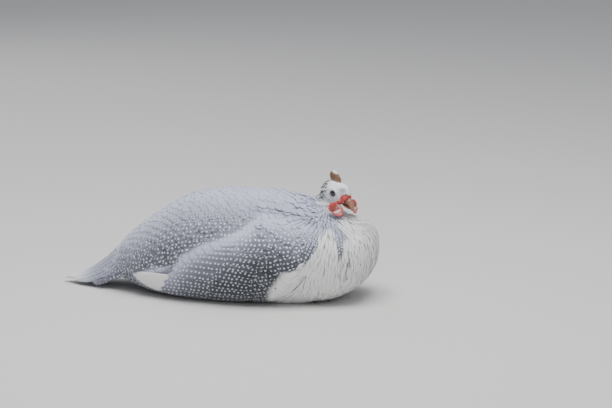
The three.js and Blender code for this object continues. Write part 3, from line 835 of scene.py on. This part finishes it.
for side, label in ((-1, "right"), (1, "left")):
    outer_ends = [
        (-25, 34, -134, 29), (-27, 31, -130, 24), (-30, 28, -124, 20), (-33, 25, -117, 17),
        (-36, 22, -109, 15),
    ]
    primaries = lay_vanes(f"wing_{label}_primaries", quill_leaf, side, outer_ends, 13, 0.6, 0.3, cream_paint)
    at = points_of(primaries)
    whole = ease(-48, -64, at[:, 0] / mm + 0.5 * (at[:, 2] / mm - 24))
    set_values(primaries, "white", whole)
    set_values(primaries, "spots", np.zeros(len(at)))
    inner_ends = spread(11, ((70, 96), (16, 13)), ((-4, 93), (-31, 79), (-54, 62), (-72, 44), (-90, 15)))
    lay_vanes(f"wing_{label}_secondaries", quill_leaf, side, inner_ends, 22, 1.4, 0.55, flank_paint)
    low_ends = spread(4, ((22, 18), (18, 6)), ((-66, 16), (-56, 5)))
    lay_vanes(f"wing_{label}_lowest", quill_leaf, side, low_ends, 15, 1.0, 0.45, ladder_paint)
    covert_ends = spread(10, ((82, 88), (44, 10)), ((28, 90), (6, 60), (-22, 12)))
    lay_vanes(f"wing_{label}_great_coverts", quill_leaf, side, covert_ends, 17, 2.1, 0.5, flank_paint)

    covert_roots = []
    for k, s in enumerate(np.arange(-6, 120, 6)):
        for u in np.arange(-66 + 6 * (k % 2), 64, 12):
            x, z = wing_front + wing_along * s + wing_up * u
            if x > 64 - 0.42 * (88 - z) and z > 4:
                covert_roots.append(against(x * mm, z * mm, side))
    covert_roots = np.array(covert_roots)
    on_wing = from_wings(covert_roots) < 3 * mm
    covert_size = (27 * mm, 15.5 * mm, 1.2 * mm, 0.28 * mm)
    dress(f"wing_{label}_coverts", covert_roots[on_wing], body_leaf, lie_on_wing, covert_size, flank_paint)

    # The shoulder feathers hang over the wing's upper edge and end in a soft fold.
    for number, (above, tip_lift) in enumerate(((20, 0.5), (14, 0.8), (8, 1.9)), 1):
        fold = []
        for x in np.arange(60 + 4.5 * (number % 2), 126, 9):
            height = np.interp(x, (52, 88, 109, 123), (128, 122, 115, 113)) + above
            fold.append(against((x + 6) * mm, height * mm, side))
        fold_size = (26 * mm, 12.5 * mm, tip_lift * mm, 0.2 * mm)
        dress(f"shoulder_{label}_{number}", np.array(fold), body_leaf, lie_on_shoulder, fold_size, back_paint)

# The tail: seven pairs of long feathers folded into a low roof that narrows to a whitish tip and lies
# on the ground, with their roots under the rump's feathers.
def round_tail(x, turn):
    """The place on the tail at this distance along it and this turn from its ridge."""
    middle = np.interp(x, rear_x, (2.7, 5.5, 10.5, 18, 29, 44, 56, 62))
    start = Vector((x * mm, 0, middle * mm))
    outward = Vector((0, math.sin(turn), math.cos(turn)))
    hit = outer.ray_cast(start, outward)[0]
    return hit[:] if hit else outer.find_nearest(start + outward * 0.02)[0][:]


tail_leaf = leaf(8, 26, 0.6, 0.9, 0.4, 0.04)
tail_paint = feather_material("tail_feathers", (5.5, 5.5), 0.28, dark_grey, light_grey, pearl_white)
unit = tail_leaf[0]
root_x, tip_x, narrow_from, narrow_to, low_tip = -138, -257, -243, -262, 1.4 * mm
quills = []
for i in range(-7, 7):
    turn = math.radians((i + 0.5) * 14.5)
    reach = abs(i + 0.5) / 6.5
    end = tip_x + 22 * reach ** 1.6
    lift = 0.2 + 0.9 * (1 - reach)
    for a, b, layer in unit:
        x = root_x + (end - root_x) * b
        out = turn + math.radians(11) * a
        place = np.array(round_tail(max(x, narrow_from), out))
        if x < narrow_from:
            shrink = (x - narrow_to) / (narrow_from - narrow_to)
            place = np.array((x * mm, place[1] * shrink, low_tip + (place[2] - low_tip) * shrink))
        rise = -2.2 + (lift + 2.2) * ease(0.1, 0.55, b) + 0.8 * layer * (1 - 0.6 * a * a)
        rise += 0.35 * a * (1 if i >= 0 else -1)
        place += np.array((0, math.sin(out), math.cos(out))) * rise * mm
        quills.append(place)
quills = np.array(quills).reshape(14, len(unit), 3)
tail_length = np.linalg.norm(quills[:, np.argmax(unit[:, 1])] - quills[:, np.argmin(unit[:, 1])], axis=1)
rectrices = many("tail_quills", tail_leaf, quills, tail_length, np.full(14, 17 * mm), unwrap(quills[:, 0]))
at = points_of(rectrices)
quill_tones = np.repeat(rng.normal(0, 0.04, 14), len(unit))
set_values(rectrices, "tone_and_shade", 0.5 + 0.4 * ease(-185, -240, at[:, 0] / mm) + quill_tones)
set_values(rectrices, "white", 0.95 * ease(-202, -240, at[:, 0] / mm))
set_values(rectrices, "spots", 0.75 * ease(-245, -205, at[:, 0] / mm))
rectrices.data.materials.append(tail_paint)
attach(rectrices, "root")

# The eyes: dark brown wet balls with a thin grey-brown iris ring, each set deep in its lids, where
# it takes the place of the solid eye.
def smooth_step(tree, value, low, high):
    """From 0 where the value is low to 1 where it is high."""
    limits = {"From Min": low, "From Max": high}
    made = node(tree, "ShaderNodeMapRange", interpolation_type="SMOOTHSTEP", **limits)
    tree.links.new(value, made.inputs["Value"])
    return made.outputs["Result"]


eye_paint, tree, shader = new_material("eye", 0.08, coat=1.0)
from_middle = value_of(tree, "from_pupil")
in_iris = smooth_step(tree, from_middle, 0.42, 0.50)
in_rim = smooth_step(tree, from_middle, 0.74, 0.86)
iris = mix(tree, in_iris, (0.004, 0.003, 0.003, 1), (0.022, 0.013, 0.010, 1))
tree.links.new(mix(tree, in_rim, iris, (0.16, 0.15, 0.14, 1)), shader.inputs["Base Color"])
for side, label in ((1, "left"), (-1, "right")):
    centre = Vector(eye_centre * (1, side, 1)) * mm
    look = Vector((0.28, side, 0.05)).normalized()
    bm = bmesh.new()
    bmesh.ops.create_uvsphere(bm, u_segments=48, v_segments=32, radius=6.0 * mm)
    for v in bm.verts:
        v.co = look.to_track_quat("Z", "Y") @ v.co
    away = np.array([math.acos(max(-1, min(1, v.co.normalized().dot(look)))) for v in bm.verts])
    for v in bm.verts:
        v.co = head_frame @ (v.co + centre)
    eyeball = piece_from(f"eyeball_{label}", bm)
    eyeball.data.shade_smooth()
    set_values(eyeball, "from_pupil", away)
    eyeball.data.materials.append(eye_paint)
    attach(eyeball, "root")
    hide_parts(f"eye_{label}")


def modelled(name, nodes, voxel, smooth, material):
    """A smooth copy of hard or fleshy solids that replaces them."""
    piece = clay(name, nodes)
    remould(piece, voxel, smooth)
    piece.data.materials.clear()
    piece.data.materials.append(material)
    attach(piece, "root")
    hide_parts(*nodes)
    return piece


# The bill: two stout halves of horn that grow out of the bare face and meet along the gape, brown-red
# at the root and paler to the hooked tip.
bill_paint, tree, shader = new_material("bill_horn", 0.34, coat=0.25)
mottle = add_creases(tree, shader, 0.5, 0.0002)
horn = mix(tree, mottle, (0.17, 0.055, 0.035, 1), (0.36, 0.14, 0.09, 1))
tree.links.new(mix(tree, value_of(tree, "tip"), horn, (0.30, 0.17, 0.11, 1)), shader.inputs["Base Color"])
for node_name, piece_name in (("bill_upper", "bill_top"), ("bill_lower", "bill_under")):
    half = modelled(piece_name, [node_name], 0.45 * mm, 2, bill_paint)
    local = in_head_frame(points_of(half))
    set_values(half, "tip", ease(26, 36, local[:, 0]))

# The casque: a bony crest under brown horn that stands on the crown and leans back, pale at its
# top, partly its own paler horn and partly a painted highlight, and pinkish at its foot.
casque_paint, tree, shader = new_material("casque_horn", 0.55)
mottle = add_creases(tree, shader, 0.45, 0.0005)
horn = mix(tree, mottle, (0.05, 0.026, 0.013, 1), (0.26, 0.15, 0.08, 1))
# The pale top is partly the horn's own colour and partly a painted highlight.
horn = mix(tree, value_of(tree, "top"), horn, (0.75, 0.74, 0.71, 1))
tree.links.new(mix(tree, value_of(tree, "foot"), horn, (0.42, 0.24, 0.19, 1)), shader.inputs["Base Color"])
back_edge = np.array(((-9, 4), (-11.5, 8), (-17, 12), (-20.5, 17), (-20, 22), (-16.5, 25.4)))
front_edge = np.array(((1, 8), (4, 14.5), (1, 19.5), (-4.5, 23.4), (-10, 25.6), (-14.5, 26)))
edge_steps = np.linspace(0, 1, 6)
bm = bmesh.new()
bmesh.ops.create_uvsphere(bm, u_segments=32, v_segments=28, radius=1)
for v in bm.verts:
    x, y, z = v.co
    t = (z + 1) / 2
    blunt = max(0, 1 - z * z) ** 0.2 / max(1e-6, math.hypot(x, y))
    back = np.array([np.interp(t, edge_steps, back_edge[:, i]) for i in (0, 1)])
    front = np.array([np.interp(t, edge_steps, front_edge[:, i]) for i in (0, 1)])
    middle = (back + front) / 2 + (front - back) / 2 * x * blunt
    rough = 0.22 * math.sin(9 * x + 4 * z) + 0.14 * math.sin(15 * z + 3 * x)
    v.co = head_frame @ (Vector((middle[0] + rough, y * blunt * (3.6 - 1.2 * t + rough), middle[1])) * mm)
casque_horn = piece_from("casque_horn", bm)
casque_horn.data.shade_smooth()
casque_horn.data.materials.append(casque_paint)
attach(casque_horn, "root")
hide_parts("casque")
local = in_head_frame(points_of(casque_horn))
# Where the pale top with its painted highlight lies.
from_top = distance_to(local, (-12.5, 0, 27), (0.75, 1, 1))
set_values(casque_horn, "top", ease(5.4, 3.8, from_top))
above_foot = local[:, 2] - 0.25 * local[:, 0]
set_values(casque_horn, "foot", 0.8 * ease(18.5, 14.5, above_foot))

# The wattles: thin waxy flaps of skin that hang from the corners of the gape, red with whitish roots,
# a whitish patch, painted shade where each flap dips in, and crinkled rims.
wattle_paint, tree, shader = new_material("wattle_skin", 0.36, coat=0.2, subsurface=0.2)
mottle = add_creases(tree, shader, 0.8, 0.0005)
flesh = mix(tree, mottle, (0.40, 0.028, 0.025, 1), (0.64, 0.10, 0.085, 1))
# Darker where the flap dips in: painted shade.
flesh = mix(tree, value_of(tree, "hollow_shade"), flesh, (0.22, 0.07, 0.05, 1))
tree.links.new(mix(tree, value_of(tree, "pale"), flesh, (0.62, 0.56, 0.57, 1)), shader.inputs["Base Color"])
for side, label in ((1, "left"), (-1, "right")):
    flap = modelled(f"wattle_flap_{label}", [f"wattle_{label}"], 0.5 * mm, 3, wattle_paint)
    co = points_of(flap)
    local = in_head_frame(co)
    out = distance_to(local, (13, 10 * side, -8))
    ripple = 0.5 * ease(8, 18, out) * np.sin(local[:, 0] * 0.9 + 2.0 * np.sin(local[:, 2] * 0.5))
    ripple += 0.18 * np.sin(local[:, 0] * 2.3 + local[:, 2] * 1.9)
    move_points(flap, co + normals_of(flap) * ripple[:, None] * mm)
    from_pale = distance_to(local, (24.8, 18 * side, -14.4), (1, 0.6, 1.1))
    from_pale += 0.8 * np.sin(local[:, 0] * 1.3)
    # Where the flap dips in, painted darker as shade.
    hollow_shade = distance_to(local, (19.0, 19 * side, -13.8), (1, 0.6, 1.2))
    root = ease(8, 4, distance_to(local, (18, 6 * side, -9)))
    set_values(flap, "pale", np.maximum(0.85 * ease(4.8, 3.2, from_pale), 0.6 * root))
    set_values(flap, "hollow_shade", 0.85 * ease(6.5, 3.5, hollow_shade))

# The nape and throat carry short hair-like plumes over the pale skin, dark behind and white below.
# They root in the skin and lie along it, away from the head's middle.
nape_leaf = leaf(1, 6, 0.6, 0.5, 0.1, 0.0)
nape_dark, nape_light = (0.03, 0.03, 0.035), (0.50, 0.52, 0.56)
nape_paint = feather_material("nape_plumes", (9.0, 9.0), 0.01, nape_dark, nape_light, pearl_white)
nape_tree = tree_of(skin)
skin_points = points_of(skin)
skin_faces = np.array([list(f.vertices)[:3] for f in skin.data.polygons])
corners = skin_points[skin_faces]
middles = in_head_frame(corners.mean(1))
behind = ease(-6, -14, middles[:, 0] + 0.3 * (middles[:, 2] - 4)) + ease(-13, -18, middles[:, 2])
haired = (from_head_middle(corners.mean(1)) < 36) * (corners[:, :, 2].mean(1) > 100 * mm)
hairs = scattered(corners, areas_of(corners) * np.clip(behind, 0, 1) * haired, 1900)
head_middle = np.array(head_frame @ Vector((4 * mm, 0, 6 * mm)))
hair_root, hair_normal = settled(hairs, nape_tree)
away = hair_root - head_middle + rng.normal(0, 1.2 * mm, hair_root.shape)
away -= hair_normal * np.sum(away * hair_normal, axis=1, keepdims=True)
away /= np.linalg.norm(away, axis=1, keepdims=True)
span = rng.uniform(6.5, 10.5, len(hair_root)) * mm
hair_middle, _ = settled(hair_root + away * span[:, None] / 2, nape_tree)
hair_tip, tip_normal = settled(hair_root + away * span[:, None], nape_tree)
hair_width = rng.uniform(0.8, 1.3, len(hair_root)) * mm
lifts = (-0.3 * mm, rng.uniform(0.4, 1.6, len(hair_root)) * mm, 0.0, 0.25 * mm)
nape = plumes(
    "nape_plumes", nape_leaf, (hair_root, hair_middle, hair_tip), (hair_normal, tip_normal),
    hair_width, lifts, unwrap(hair_root),
)
n = len(nape_leaf[0])
root_local = in_head_frame(hair_root)
dark_share = ease(-4, -14, root_local[:, 0]) * ease(-26, -12, root_local[:, 2])
is_dark = rng.random(len(hair_root)) < 0.5 * dark_share
set_values(nape, "tone_and_shade", np.repeat(np.where(is_dark, 0.05, 0.95), n))
set_values(nape, "white", np.repeat(np.where(is_dark, 0.0, 0.85), n))
set_values(nape, "spots", np.zeros(len(hair_root) * n))
nape.data.materials.append(nape_paint)
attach(nape, "root")

# The legs and feet, folded on the floor under the body: scaled grey-brown skin, with dark blunt
# claws of horn at the toes' ends.
leg_paint, tree, shader = new_material("leg_scales", 0.55)
mottle = add_creases(tree, shader, 0.28, 0.0006)
tree.links.new(mix(tree, mottle, (0.09, 0.07, 0.055, 1), (0.24, 0.17, 0.12, 1)), shader.inputs["Base Color"])
claw_paint, tree, shader = new_material("claw_horn", 0.3, coat=0.3)
mottle = add_creases(tree, shader, 0.4, 0.0002)
claw_colour = mix(tree, mottle, (0.03, 0.024, 0.02, 1), (0.10, 0.075, 0.055, 1))
tree.links.new(claw_colour, shader.inputs["Base Color"])
for label in ("left", "right"):
    modelled(f"shank_{label}", [f"leg_{label}"], 0.8 * mm, 3, leg_paint)
    modelled(f"toes_{label}", [f"foot_{label}"], 0.8 * mm, 2, leg_paint)
    for number in range(1, 5):
        modelled(f"nail_{label}_{number}", [f"claw_{label}_{number}"], 0.5 * mm, 1, claw_paint)
